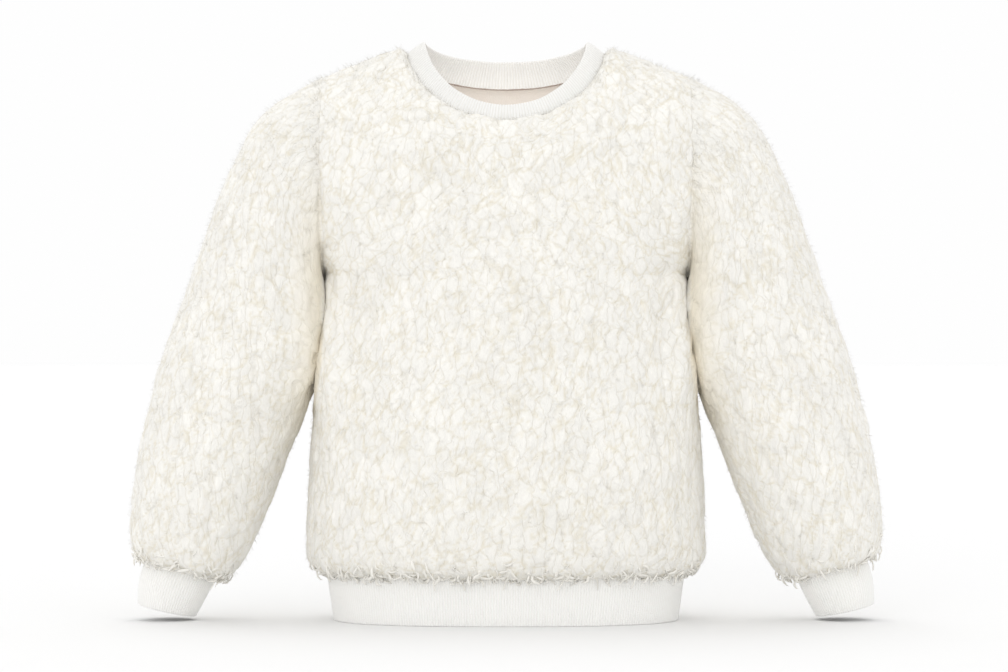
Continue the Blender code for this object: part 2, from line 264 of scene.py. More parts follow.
def panelSkin(half, inset):
    # rows of points from the hem up to the neck's crest and the shoulder line
    form = bodyForm
    count = form["columns"] * form["finer"]
    even = np.arange(count + 1) / count
    turn = math.pi / 2 * even
    power = 2 / form["roundness"]
    crowded = np.sin(turn) ** power
    rows = []
    for height, halfWidth, front, back in form["sections"]:
        deepest = front if half == "front" else back
        rows.append(points((halfWidth - inset) * crowded,
                           (deepest - inset) * np.maximum(np.cos(turn), 0) ** power, height))
    armMiddle = (form["armTop"] + form["armFoot"]) / 2
    for step in range(form["yokeRows"] + 1):
        rise = step / form["yokeRows"]
        armDepth, armHeight = armhole(-math.pi / 2 * (1 - rise), inset)
        depth = blend(deepest, form["chestDepth"][half], rise) - inset
        reach = blend(crowded, even, rise)
        flatness = blend(form["roundness"], 1.2, rise)
        fullness = np.maximum(1 - reach ** form["roundness"], 0) ** (1 / flatness)
        rows.append(points((form["armPlane"] - garment["seamGap"] / 2) * reach,
                           blend(armDepth, depth, fullness),
                           blend(blend(height + form["underarmRise"], armMiddle, rise),
                                 armHeight, reach ** 3)))
    start = rows[-1]
    ends = topEnds(half, inset, np.arange(count + 1) / form["finer"])
    finish = np.array([end[0] for end in ends])
    slope, lean, handle = (np.array([end[item] for end in ends]) for item in (1, 2, 3))
    lower = start.copy()
    lower[:, 2] += handle * (finish[:, 2] - start[:, 2])
    pull = points(np.cos(slope) * np.sin(lean), np.cos(slope) * np.cos(lean), -np.sin(slope))
    upper = finish + pull * (handle * (start[:, 1] - finish[:, 1]))[:, None]
    for step in range(1, form["shoulderRows"] + 1):
        t = step / form["shoulderRows"]
        rows.append(start * (1 - t) ** 3 + lower * (3 * (1 - t) ** 2 * t)
                    + upper * (3 * (1 - t) * t ** 2) + finish * t ** 3)
    rows = smoothRows(rows, form["finer"])
    facing = -1 if half == "front" else 1
    rows[..., 1] = facing * np.maximum(rows[..., 1], garment["seamGap"] / 2)
    mirrored = rows[:, :0:-1] * np.array([-1, 1, 1])
    return np.concatenate([mirrored, rows], axis=1)


def neckLine(half, inset):
    # the cloth's edge at the collar, for the columns that end at the neck
    line = []
    for column in range(bodyForm["neckColumns"] * bodyForm["finer"] + 1):
        turn = neckTurn(column / bodyForm["finer"])
        line.append(neckRim(turn if half == "front" else math.pi - turn, inset)[1])
    line = np.array(line)
    return np.concatenate([line[:0:-1] * np.array([-1, 1, 1]), line])


# Sleeves and cuffs, in flat rings from the outer edge to the edge nearest the body

sleeveForm = {
    # outer x and z, inner x and z, half depth, shift to the front
    "rings": (
        (.1880, -.0340, .1880, -.2350, .0860, .000), (.2110, -.0470, .1868, -.2400, .0865, .000),
        (.2380, -.0630, .1852, -.2460, .0860, .000), (.2600, -.0850, .1840, -.2530, .0850, .000),
        (.2770, -.1170, .1832, -.2640, .0838, -.001), (.2930, -.1510, .1836, -.2770, .0825, -.002),
        (.3060, -.1870, .1852, -.2930, .0808, -.003), (.3190, -.2240, .1880, -.3120, .0790, -.004),
        (.3320, -.2620, .1925, -.3340, .0775, -.005), (.3460, -.3000, .1985, -.3580, .0770, -.006),
        (.3580, -.3350, .2075, -.3900, .0758, -.007), (.3670, -.3700, .2205, -.4220, .0740, -.008),
        (.3745, -.4030, .2315, -.4520, .0718, -.009), (.3805, -.4360, .2425, -.4800, .0690, -.010),
        (.3845, -.4660, .2535, -.5070, .0655, -.011), (.3868, -.4920, .2645, -.5285, .0615, -.012),
        (.3868, -.5090, .2730, -.5410, .0572, -.012), (.3842, -.5210, .2795, -.5485, .0528, -.012),
        (.3790, -.5285, .2885, -.5525, .0460, -.012),
    ),
    "columns": 96,
    "finer": 4,
}

cuffForm = {
    "rings": (
        (.3655, -.5235, .2942, -.5425, .0362, -.0115),
        (.3695, -.5315, .2982, -.5505, .0355, -.0120),
        (.3765, -.5560, .3085, -.5720, .0335, -.0125),
        (.3772, -.5775, .3188, -.5905, .0292, -.0130),
    ),
    "places": (0.0, 0.16, 0.58, 1.0),  # of each ring, from the sleeve to the free edge
}


def ringPoints(ring, turn, inset, side):
    outerX, outerZ, innerX, innerZ, halfDepth, shift = ring
    length = np.hypot(outerX - innerX, outerZ - innerZ)
    reach = (length / 2 - inset) / length * np.cos(turn)
    x = (outerX + innerX) / 2 + (outerX - innerX) * reach
    z = (outerZ + innerZ) / 2 + (outerZ - innerZ) * reach
    return points(side * x, shift + (halfDepth - inset) * np.sin(turn), z)


def sleeveTurns():
    # from the side that faces the body, round to it again
    return (np.arange(sleeveForm["columns"]) / sleeveForm["columns"] + 0.5) * math.tau


def sleeveSkin(side, inset):
    rows = [ringPoints(ring, sleeveTurns(), inset, side) for ring in sleeveForm["rings"]]
    rows[0] = rows[0] + np.array([side * garment["seamGap"] / 2, 0, 0])
    return smoothRows(rows, sleeveForm["finer"])


# Rib bands are closed loops of knit: up the outside, over the top edge and down the inside

ribKnit = {
    "rise": 0.0007,  # of a rib over its groove
    "edgeTurns": (0.5, 1.1, 1.57, 2.04, 2.64),  # angles round a folded edge
    "footWaver": 0.3,  # share of the waver at the lower edge
}

hemForm = {
    "top": (-0.5380, 0.1842, 0.1072, 0.1032),  # height, half width, front, back
    "foot": (-0.5940, 0.1765, 0.1020, 0.0985),
    "roundness": 2.5,
    "ribs": 345, "pointsOnRib": 4, "rows": 5, "length": 0.056,
    "seed": 31, "waver": 0.0003, "edgeWaver": 0.0,
    "stitchRows": 34, "shade": 1.02, "grooveShadeShare": 0.45, "seam": 0.0,
}

collarBand = {
    "ribs": 190, "pointsOnRib": 4, "rows": 5, "length": 0.030,
    "seed": 32, "waver": 0.0002, "edgeWaver": 0.0004,
    "stitchRows": 18, "shade": 0.94, "grooveShadeShare": 0.8, "seam": 0.045,
}

cuffBand = {
    "ribs": 78, "pointsOnRib": 6, "rows": 7, "length": 0.053,
    "seed": 33, "waver": 0.0003, "edgeWaver": 0.0005,
    "stitchRows": 30, "shade": 1.0, "grooveShadeShare": 0.55, "seam": 0.0,
}


def hemPoint(angle, share, lift):
    top, foot = hemForm["top"], hemForm["foot"]
    forward = np.cos(angle)
    power = 2 / hemForm["roundness"]
    halfWidth = blend(foot[1], top[1], share) + lift
    depth = np.where(forward >= 0, blend(foot[2], top[2], share), blend(foot[3], top[3], share)) + lift
    return points(halfWidth * np.sign(np.sin(angle)) * np.abs(np.sin(angle)) ** power,
                  -depth * np.sign(forward) * np.abs(forward) ** power,
                  blend(foot[0], top[0], share))


def cuffSurface(side):
    # share 0 at the free edge and 1 at the sleeve
    rings = np.array(cuffForm["rings"])

    def surface(angle, share, lift):
        ring = [np.interp(1 - share, cuffForm["places"], column) for column in rings.T]
        return ringPoints(ring, angle, -lift, side)

    return surface


def bandPiece(name, surface, form):
    # surface(angle, share, lift) gives points, with share 0 at one edge and 1 at the other
    wall = garment["ribWall"]
    ribs, each, length = form["ribs"], form["pointsOnRib"], form["length"]
    angles = evenAngles(lambda turn: surface(turn, 0.5, 0.0), ribs * each)
    wave = np.cos(math.tau * np.arange(ribs * each) / each)
    bend = wall / 2 / length
    loop = [(share, 1.0) for share in np.linspace(bend, 1 - bend, form["rows"])]
    loop += [(1 - bend + bend * math.sin(turn), math.cos(turn)) for turn in ribKnit["edgeTurns"]]
    loop += [(1 - share, -across) for share, across in loop]
    phase = np.random.default_rng(form["seed"]).uniform(0, math.tau, 8)
    drift = sum(np.sin(angles * (3 + 2 * n) + phase[n]) / (n + 1) for n in range(4))
    edgeDrift = sum(np.sin(angles * (5 + 4 * n) + phase[4 + n]) for n in range(4)) / 4
    rows = []
    for share, across in loop:
        ribWave = 0.5 + 0.5 * wave if across >= 0 else 0.5 - 0.5 * wave
        lift = -wall / 2 + across * (wall / 2 + ribKnit["rise"] * ribWave)
        lift = lift + form["waver"] * drift * blend(ribKnit["footWaver"], 1.0, share)
        stretch = share + form["edgeWaver"] / length * edgeDrift * share
        rows.append(surface(angles, stretch, lift))
    number = np.arange(len(rows) * len(angles)).reshape(len(rows), -1)
    quads = cornersOf(closeUp(np.concatenate([number, number[:1]])))
    run = [share for share, across in loop] + [loop[0][0]]
    spread = np.stack(np.meshgrid(np.arange(len(angles) + 1) / len(angles), run), axis=-1)
    mesh = newMesh(name, np.concatenate(rows), quads.ravel(), np.full(number.size, 4), "cloth",
                   cornersOf(spread))
    pointOutwards(mesh)
    return addObject(name, mesh)


# Curly pile: curved, tapering locks and loose hairs that root in the cloth

pile = {
    "clothShare": 0.11,  # where the cloth's face lies in the wall, from its inside
    "fringe": 0.045,  # how far up from the free edge the locks loosen
    "groove": 0.20,
    "edgeShade": 0.30,
    "tries": 6,  # for each place that a lock may take
    "scale": (0.78, 1.22),
    "pastEdge": (-0.003, 0.005),
    "shortest": 0.006,
    "turns": (4.0, 7.5),
    "twist": (-2.0, 2.0),
    "thicknessRange": (0.85, 1.2),
}

lockShape = {
    "along": (0.0, 0.24, 0.50, 0.74, 0.92),
    "height": (0.10, 0.68, 0.94, 0.98, 0.84),
    "nap": (0.0, 0.12, 0.38, 0.68, 0.90),
    "width": (0.40, 0.74, 0.95, 1.00, 0.72),
    "tip": (1.0, 0.66, 0.98),  # along, height, nap
}

hairShape = {
    "along": (0.0,),
    "height": (0.66,),
    "nap": (0.0,),
    "width": (1.0,),
    "tip": (1.0, 1.16, 1.0),
}

# Heights are shares of the wall, widths half of a lock's breadth, and "near" says which edge the
# roots keep to and how far from it they may be
lockKinds = {
    "fringe": {
        "shape": lockShape, "sides": 5, "spacing": 0.0047, "near": ("room", 0.032),
        "height": (0.60, 0.92), "length": (0.007, 0.014), "width": (0.0008, 0.0017),
        "thickness": 0.75, "lean": 50, "wave": (0.0016, 0.0036), "curl": 0.0055,
    },
    "hair": {
        "shape": hairShape, "sides": 3, "spacing": 0.0042, "near": None,
        "height": (0.82, 1.06), "length": (0.002, 0.008), "width": (0.00018, 0.00034),
        "thickness": 1.0, "lean": 70, "wave": (0.0004, 0.0014), "curl": 0.0022,
    },
    "fuzz": {
        "shape": hairShape, "sides": 3, "spacing": 0.0024, "near": ("top", 0.014),
        "height": (0.80, 1.00), "length": (0.003, 0.008), "width": (0.00022, 0.00038),
        "thickness": 1.0, "lean": 90, "wave": (0.0004, 0.0014), "curl": 0.0026,
    },
}


def scatter(grid, spacing, random):
    # even but irregular places over a skin, as cell numbers and shares within the cell
    across = grid[1:, 1:] - grid[:-1, :-1]
    areas = np.linalg.norm(np.cross(across, grid[1:, :-1] - grid[:-1, 1:]), axis=-1) / 2
    chance = np.cumsum(areas.ravel())
    tries = int(chance[-1] / spacing ** 2 * pile["tries"])
    cell = np.searchsorted(chance, random.uniform(0, chance[-1], tries))
    row, column = np.divmod(cell, areas.shape[1])
    u, v = random.uniform(0, 1, (2, tries))
    place = bilinear(grid, row, column, u, v)
    keys = np.floor(place / spacing).astype(int)
    limit = spacing * spacing
    near = list(product((-1, 0, 1), repeat=3))
    taken = {}
    kept = []
    for number, ((x, y, z), (a, b, c)) in enumerate(zip(keys.tolist(), place.tolist())):
        if all((a - d) ** 2 + (b - e) ** 2 + (c - f) ** 2 >= limit
               for i, j, k in near for d, e, f in taken.get((x + i, y + j, z + k), ())):
            taken.setdefault((x, y, z), []).append((a, b, c))
            kept.append(number)
    return row[kept], column[kept], u[kept], v[kept]


def bilinear(grid, row, column, u, v):
    u, v = u[:, None], v[:, None]
    return ((grid[row, column] * (1 - u) + grid[row, column + 1] * u) * (1 - v)
            + (grid[row + 1, column] * (1 - u) + grid[row + 1, column + 1] * u) * v)


def pileRoots(outer, inner, spacing, random, closed):
    # roots on the cloth, the way up to the tips, the nap's direction and the room left below;
    # the nap runs to the last row of a closed skin and to the first row of an open one
    if closed:
        outer, inner = closeUp(outer), closeUp(inner)
    row, column, u, v = scatter(outer, spacing, random)

    def at(grid):
        return bilinear(grid, row, column, u, v)

    run = runOver(outer, 0)[..., None]
    room, top = (run[-1:] - run, run) if closed else (run, run[-1:] - run)
    high = at(outer)
    root = blend(at(inner), high, pile["clothShare"])
    along = unit((outer[row + 1, column] - outer[row, column]) * (1 if closed else -1))
    return {"root": root, "rise": high - root, "nap": along, "room": at(room)[:, 0],
            "top": at(top)[:, 0]}


def lockPaths(roots, shape, heights, lengths, wave, curl, phase, turns):
    # points along each lock, its last one the tip
    share, up, nap = (np.array(shape[label] + (tip,))
                      for label, tip in zip(("along", "height", "nap"), shape["tip"]))
    normal = roots["rise"]
    side = unit(np.cross(normal, roots["nap"]))
    path = (roots["root"][:, None] + normal[:, None] * (heights[:, None] * up)[..., None]
            + roots["nap"][:, None] * (lengths[:, None] * nap)[..., None])
    swing = (wave[:, None] * (np.sin(turns[:, None] * share + phase[:, None]) - np.sin(phase)[:, None])
             + curl[:, None] * share ** 3)
    return path + side[:, None] * swing[..., None], side


def lockMesh(path, side, halfWidth, thickness, kind, groove, twist, phase):
    # rings round each path, closed at the root and drawn to a point at the tip
    sides = kind["sides"]
    count, rings = path.shape[0], path.shape[1] - 1
    along = unit(np.gradient(path, axis=1))
    wide = unit(side[:, None] - along * np.sum(side[:, None] * along, axis=-1, keepdims=True))
    deep = np.cross(along, wide)
    share = np.array(kind["shape"]["along"])
    turn = np.arange(sides) / sides * math.tau + (twist[:, None] * share)[..., None]
    turn = turn + phase[:, None, None]
    size = np.array(kind["shape"]["width"])[:, None] * halfWidth[:, None, None]
    size = size * (1 - groove * (np.arange(sides) % 2))
    body = (path[:, :rings, None] + wide[:, :rings, None] * (size * np.cos(turn))[..., None]
            + deep[:, :rings, None] * (size * thickness[:, None, None] * np.sin(turn))[..., None])
    places = np.concatenate([body.reshape(count, rings * sides, 3), path[:, -1:]], axis=1)
    number = closeUp(np.arange(rings * sides).reshape(rings, sides))
    tips = [(number[-1, k], number[-1, k + 1], rings * sides) for k in range(sides)]
    tipSpots = [((k, share[-1]), (k + 1, share[-1]), (k + 0.5, 1.0)) for k in range(sides)]
    cap = np.arange(sides)[::-1]
    loops = np.concatenate([cornersOf(number).ravel(), np.ravel(tips), cap])
    spread = np.stack(np.meshgrid(np.arange(sides + 1), share), axis=-1)
    uv = np.concatenate([cornersOf(spread).reshape(-1, 2), np.reshape(tipSpots, (-1, 2)),
                         np.stack([cap, 0 * cap], axis=-1)])
    totals = np.array([4] * ((rings - 1) * sides) + [3] * sides + [sides])
    return places, loops, totals, uv / (sides, 1)


# The gap between body and sleeve, by depth below the neck: where it runs, how warm its light is
# and how much extra height the pile has to fill it

gap = {
    "line": ((0.20, 0.33, 0.38, 0.44), (0.185, 0.185, 0.194, 0.206)),  # depths, ways out
    "warmth": ((0.12, 0.24, 0.38, 0.47), (0, 1, 1, 0)),
    "warmEdge": 0.003,
    "warmWidth": 0.034,
    "warmDepth": 0.12,
    "body": ((0.215, 0.250, 0.32, 0.35, 0.39), (0, 5.2, 4.4, 3.6, 0)),  # the least fill, in mm
    "sleeve": ((0.09, 0.15, 0.20, 0.235, 0.26, 0.30, 0.35, 0.39),
               (0, 4.0, 8.5, 12.5, 10.5, 5.4, 3.6, 0)),
    "round": ((0.22, 0.28, 0.33, 0.38), (0, 1, 1, 0)),  # where both round away
    "roundFill": 11.0,
    "roundDepth": (0.042, 0.05, 2.3),  # furthest, unit and power
    "middle": 0.190,
    "width": 0.014,
    "reach": (0.100, 0.032),  # to the front and back
}


def gapWarmth(spots):
    # 1 on the sleeve's side towards the body, where light goes from pile to pile and turns warm
    x, y, z = np.abs(spots[:, 0]), np.abs(spots[:, 1]), spots[:, 2]
    out = x - np.interp(-z, *gap["line"])
    near = np.clip(out / gap["warmEdge"], 0, 1) * np.clip(1.1 - out / gap["warmWidth"], 0, 1)
    return np.interp(-z, *gap["warmth"]) * near * (y < gap["warmDepth"])


def gapFill(part):
    # extra height of the pile, in shares of the wall
    def extraHeight(spots):
        x, y, z = np.abs(spots[:, 0]), np.abs(spots[:, 1]), spots[:, 2]
        furthest, measure, power = gap["roundDepth"]
        rounding = np.interp(-z, *gap["round"]) * gap["roundFill"]
        extra = np.interp(-z, *gap[part]) + rounding * (np.minimum(y, furthest) / measure) ** power
        front, fade = gap["reach"]
        close = np.clip(2.2 - np.abs(x - gap["middle"]) / gap["width"], 0, 1)
        return extra * 0.001 / garment["pileWall"] * (close * np.clip((front - y) / fade, 0, 1))

    return extraHeight


pileMarks = ("pileHeight", "lockTint", "crease", "warmth")


def fiberMesh(name, places, loops, totals, uvs, *marks):
    mesh = newMesh(name, places, loops, totals, "lock", uvs)
    for label, values in zip(pileMarks, (*marks, gapWarmth(places))):
        mesh.attributes.new(label, "FLOAT", "POINT").data.foreach_set("value", values.astype(np.float32))
    return addObject(name, mesh)


def growLocks(kind, roots, random, closeness):
    shape, sides = kind["shape"], kind["sides"]
    count = len(roots["root"])
    loose = np.clip(1 - roots["room"] / pile["fringe"], 0, 1)[:, None]  # 1 at the free lower edge
    normal = unit(roots["rise"])
    nap = unit(roots["nap"] * (1 - 0.5 * loose) + np.array([0, 0, -1]) * (0.15 + 0.5 * loose))
    nap = unit(nap - normal * (np.sum(nap * normal, axis=1, keepdims=True) * (1 - loose)))
    lean = random.normal(0, 1, (count, 1)) * math.radians(kind["lean"]) * (1 + 0.4 * loose)
    nap = unit(nap * np.cos(lean) + np.cross(normal, nap) * np.sin(lean))

    def draw(limits):
        return random.uniform(*limits, count)

    scale = draw(pile["scale"])
    limit = np.maximum(roots["room"] + draw(pile["pastEdge"]), pile["shortest"])
    length = np.minimum(draw(kind["length"]) * scale, limit)
    height = draw(kind["height"]) * (0.9 + 0.1 * scale) + closeness(roots["root"])
    sign = np.where(draw((0, 1)) < 0.5, -1, 1)
    wave = draw(kind["wave"]) * sign
    curl = random.normal(0, kind["curl"], count)
    turns = draw(pile["turns"])
    phase = draw((0, math.tau))
    path, side = lockPaths({**roots, "nap": nap}, shape, height, length, wave, curl, phase, turns)
    halfWidth = draw(kind["width"]) * scale
    thickness = kind["thickness"] * draw(pile["thicknessRange"])
    groove = pile["groove"] if sides > 3 else 0.0
    twist = draw(pile["twist"])
    mesh = lockMesh(path, side, halfWidth, thickness, kind, groove, twist, phase)
    climb = np.append(np.repeat(shape["height"], sides), shape["tip"][1])
    edge = np.abs(np.cos(np.arange(sides) / sides * math.tau)) ** 4
    crease = np.append(np.tile(edge, len(shape["along"])) * pile["edgeShade"], 0.0)
    return mesh, height[:, None] * climb, draw((-1, 1)), crease


def pilePiece(name, outer, inner, closed, random, closeness):
    # one mesh from the kinds of locks, where all locks of a kind share their list of faces
    parts = []
    start = 0
    for kind in lockKinds.values():
        roots = pileRoots(outer, inner, kind["spacing"], random, closed)
        share = random.uniform(0.3, 1.0, len(roots["root"]))
        if kind["near"]:
            edge, reach = kind["near"]
            near = roots[edge] < reach * share
            roots = {part: values[near] for part, values in roots.items()}
        (spots, loops, totals, uv), high, shade, crease = growLocks(kind, roots, random, closeness)
        count, each = spots.shape[:2]
        firsts = start + np.arange(count)[:, None] * each
        parts.append((spots.reshape(-1, 3), (loops + firsts).ravel(), np.tile(totals, count),
                      np.tile(uv, (count, 1)), high.ravel(), np.repeat(shade, each),
                      np.tile(crease, count)))
        start += count * each
    return fiberMesh(name, *(np.concatenate(part) for part in zip(*parts)))


# Matted pile under the hairs: one closed skin whose relief is made of overlapping tufts

mat = {
    "spacing": 0.0122,
    "length": (0.0270, 0.0390),
    "halfWidth": (0.0080, 0.0108),
    "base": 0.70,  # height of the deepest crevices, as a share of the wall
    "crest": (0.86, 1.00),
    "wave": (0.0026, 0.0052),
    "turns": (3.0, 6.5),
    "lean": 0.26,
    "outline": (2.4, 2.8),  # powers of a tuft's outline, across it and along it
    "middle": (0.46, 0.56),  # of its outline, and half the outline's length, in tuft lengths
    "dome": 0.36,
    "rootHeight": 0.60,  # height at its root, as a share of the height at its tip
    "ridge": 0.02,
    "ridges": 8,
    # the next two values become painted crevice shade in the pile's colour: the step over which it fades,
    # and its amount on bare spots
    "crease": 0.036,  # step in height over which a crevice fades out
    "bareCrease": 0.25,  # the same where no tuft lies
    "neighbours": 9,
    "underside": 6,  # points of the relief for each one of the hidden underside
    "finer": {"front": (4, 3), "back": (3, 3), "sleeve": (4, 2)},
    "mapSize": (0.024, 0.020),  # of one unit of the UV map, as on a lock
}


def refine(grid, finer, closed):
    # straight steps between the skin's points, which are close already
    full = closeUp(grid) if closed else grid
    rows = np.arange((full.shape[0] - 1) * finer[0] + 1) / finer[0]
    columns = np.arange((full.shape[1] - 1) * finer[1] + (0 if closed else 1)) / finer[1]
    place = np.stack(np.meshgrid(rows, columns, indexing="ij")).reshape(2, -1)
    cell = np.minimum(place.astype(int), np.array(full.shape[:2])[:, None] - 2)
    v, u = place - cell
    return bilinear(full, *cell, u, v).reshape(len(rows), len(columns), 3)


def tuftRelief(spots, roots, random):
    # height of the pile at each spot, the tuft that is uppermost there, and how near its edge, which the
    # pile's colour shows as painted crevice shade
    count, base = len(roots["root"]), mat["base"]
    length, halfWidth, crest, wave, turns = (
        random.uniform(*mat[label], count) for label in ("length", "halfWidth", "crest", "wave", "turns"))
    phase = random.uniform(0, math.tau, count)
    lean = random.normal(0, mat["lean"], count)
    normal = unit(roots["rise"])
    side = unit(np.cross(normal, roots["nap"]))
    nap = roots["nap"] * np.cos(lean)[:, None] + side * np.sin(lean)[:, None]
    side = unit(np.cross(normal, nap))
    head = roots["root"] + roots["rise"] * (1 - pile["clothShare"])
    middle = head + nap * (length * 0.5)[:, None]
    tree = KDTree(count)
    for number, place in enumerate(middle):
        tree.insert(place, number)
    tree.balance()
    near = np.array([[hit[1] for hit in tree.find_n(spot, mat["neighbours"])] for spot in spots])
    away = spots[:, None] - head[near]
    t = np.sum(away * nap[near], axis=-1) / length[near]
    across = np.sum(away * side[near], axis=-1) - wave[near] * np.sin(turns[near] * t + phase[near])
    q = across / halfWidth[near]
    widePower, longPower = mat["outline"]
    centre, halfLength = mat["middle"]
    reach = np.abs(q) ** widePower + np.abs((t - centre) / halfLength) ** longPower
    dome = np.maximum(1 - reach, 0) ** mat["dome"]
    climb = mat["rootHeight"] + (1 - mat["rootHeight"]) * np.clip(t, 0, 0.9) / 0.9
    ridges = mat["ridge"] * np.cos(q * mat["ridges"] + phase[near]) * dome
    height = base + (crest[near] - base) * dome * climb + ridges
    height = np.where(dome > 0, height, base - 0.1)
    order = np.argsort(height, axis=1)
    each = np.arange(len(spots))
    pick = (each, order[:, -1])
    step = height[pick] - height[each, order[:, -2]]
    crease = 1 - np.clip(step / mat["crease"], 0, 1)
    crease = np.where(height[pick] < base, mat["bareCrease"], crease)
    return np.maximum(height[pick], base), near[pick], crease


def skinMap(skin):
    # lengths over the skin from its middle column, across the nap and along it
    across = runOver(skin, 1)
    across -= across[:, skin.shape[1] // 2][:, None]
    return np.stack([across, runOver(skin, 0)], axis=-1) / np.array(mat["mapSize"])


def rimFaces(cycle, under):
    # walls between the relief's edge and the underside's coarser edge
    marks = [number for number, point in enumerate(cycle) if point in under]
    faces = []
    for place, start in enumerate(marks):
        stop = marks[(place + 1) % len(marks)]
        if stop <= start:
            stop += len(cycle)
        edge = [cycle[number % len(cycle)] for number in range(start, stop + 1)]
        faces.append(edge + [under[edge[-1]], under[edge[0]]])
    return faces


def matPiece(name, outer, inner, closed, random, finer, closeness):
    roots = pileRoots(outer, inner, mat["spacing"], random, closed)
    high, low = refine(outer, finer, closed), refine(inner, finer, closed)
    rows, columns = high.shape[:2]
    height, tuft, crease = tuftRelief(high.reshape(-1, 3), roots, random)
    lift = height + closeness(high.reshape(-1, 3))
    skin = low + (high - low) * lift.reshape(rows, columns, 1)
    number = np.arange(rows * columns).reshape(rows, columns)
    step = mat["underside"]
    rowPick = [*range(0, rows - 1, step), rows - 1]
    columnPick = [*range(0, columns, step)] if closed else [*range(0, columns - 1, step), columns - 1]
    floorSkin = blend(low, high, pile["clothShare"] + 0.01)[rowPick][:, columnPick]
    hidden = len(rowPick) * len(columnPick)
    below = number.size + np.arange(hidden).reshape(len(rowPick), -1)
    under = dict(zip(number[rowPick][:, columnPick].ravel().tolist(), below.ravel().tolist()))
    if closed:
        cycles = [number[0], number[-1]]
        number, below, high = closeUp(number), closeUp(below), closeUp(high)
    else:
        cycles = [np.concatenate([number[0], number[1:, -1], number[-1, -2::-1], number[-2:0:-1, 0]])]
    quads = np.concatenate([cornersOf(grid).reshape(-1, 4) for grid in (number, below)])
    walls = [face for cycle in cycles for face in rimFaces(cycle.tolist(), under)]
    places = np.concatenate([skin.reshape(-1, 3), floorSkin.reshape(-1, 3)])
    loops = np.concatenate([quads.ravel(), *walls])
    totals = np.array([4] * len(quads) + [len(face) for face in walls])
    corners = cornersOf(skinMap(high)).reshape(-1, 2)
    uv = np.concatenate([corners, np.zeros((len(loops) - len(corners), 2))])
    tint = random.uniform(-1, 1, len(roots["root"]))
    piece = fiberMesh(name, places, loops, totals, uv,
                      np.concatenate([height, np.full(hidden, 0.1)]),
                      np.concatenate([tint[tuft], np.zeros(hidden)]),
                      np.concatenate([crease, np.ones(hidden)]))
    pointOutwards(piece.data)
    return piece


# Backing cloth, a thin shell with the pile on its outer face

clothForm = {
    "coarse": 2,  # every second row and column of the skins
    "sharpAngle": 50,
    "gapAtRib": 0.0006,
    "hemRows": 10,  # rows over which the cloth opens out to the rib
    "hemRise": 0.008,
    "cuffRows": 6,
    "neckDrop": 0.005,
    "reach": 0.005,  # of the sleeve's pile into its seam
}


def clothShell(name, inner, outer, closed, extraInner=None):
    coarse = clothForm["coarse"]
    inner, outer = inner[::coarse, ::coarse], outer[::coarse, ::coarse]
    rows, columns = inner.shape[:2]
    number = np.arange(rows * columns).reshape(rows, columns)
    quads = cornersOf(closeUp(number) if closed else number).reshape(-1, 4).tolist()
    face = blend(inner, outer, garment["clothThickness"] / garment["pileWall"])
    innerPoints, facePoints = inner.reshape(-1, 3), face.reshape(-1, 3)
    if extraInner is not None:
        extraInner = extraInner[::coarse]
        count = len(extraInner)
        first = (columns - count) // 2
        strip = np.stack([number[-1, first:first + count], number.size + np.arange(count)])
        quads += cornersOf(strip).reshape(-1, 4).tolist()
        lifted = extraInner + unit(extraInner * np.array([1, 1, 0])) * garment["clothThickness"]
        innerPoints = np.concatenate([innerPoints, extraInner])
        facePoints = np.concatenate([facePoints, lifted])
    shell = bmesh.new()
    skins = []
    for skin in (facePoints, innerPoints):
        skins.append([shell.verts.new(point) for point in skin])
        for quad in quads:
            shell.faces.new([skins[-1][corner] for corner in quad])
    partner = dict(zip(*skins))
    rim = [edge for edge in shell.edges if edge.is_boundary and edge.verts[0] in partner]
    for edge in rim:
        first, second = edge.verts
        shell.faces.new((first, second, partner[second], partner[first]))
    bmesh.ops.recalc_face_normals(shell, faces=shell.faces)
    mesh = bpy.data.meshes.new(name)
    shell.to_mesh(mesh)
    shell.free()
    mesh.shade_smooth()
    mesh.set_sharp_from_angle(angle=math.radians(clothForm["sharpAngle"]))
    return addObject(name, mesh)


# Shader nodes, and the node groups, each built once

def addNode(tree, kind, inputs, **settings):
    # inputs by name or number, each a value or another node's output
    node = tree.nodes.new("ShaderNode" + kind)
    for label, value in settings.items():
        setattr(node, label, value)
    for label, value in inputs.items():
        if isinstance(value, bpy.types.NodeSocket):
            tree.links.new(value, node.inputs[label])
        else:
            node.inputs[label].default_value = value
    return node


def mathNode(tree, *values, operation=None, clamp=False):
    # the product of the first two values plus the third, if no operation is named
    operation = operation or ("MULTIPLY" if len(values) == 2 else "MULTIPLY_ADD")
    inputs = dict(enumerate(values))
    return addNode(tree, "Math", inputs, operation=operation, use_clamp=clamp).outputs[0]


def vectorNode(tree, operation, *values):
    return addNode(tree, "VectorMath", dict(enumerate(values)), operation=operation).outputs[0]


def mixColours(tree, share, first, second, kind="MIX"):
    first, second = ((*colour, 1.0) if isinstance(colour, tuple) else colour
                     for colour in (first, second))
    inputs = {0: share, 6: first, 7: second}
    return addNode(tree, "Mix", inputs, data_type="RGBA", blend_type=kind).outputs[2]


def noise(tree, vector, scale, detail, roughness=0.5):
    inputs = {"Vector": vector, "Scale": scale, "Detail": detail, "Roughness": roughness}
    return addNode(tree, "TexNoise", inputs).outputs["Fac"]


def newGroup(name, vectors, numbers, results):
    group = bpy.data.node_groups.new(name, "ShaderNodeTree")
    for labels, way, kind in ((vectors, "INPUT", "Vector"), (numbers, "INPUT", "Float"),
                              (results, "OUTPUT", "Float")):
        for label in labels:
            group.interface.new_socket(label, in_out=way, socket_type="NodeSocket" + kind)
    return group, group.nodes.new("NodeGroupInput").outputs, group.nodes.new("NodeGroupOutput").inputs


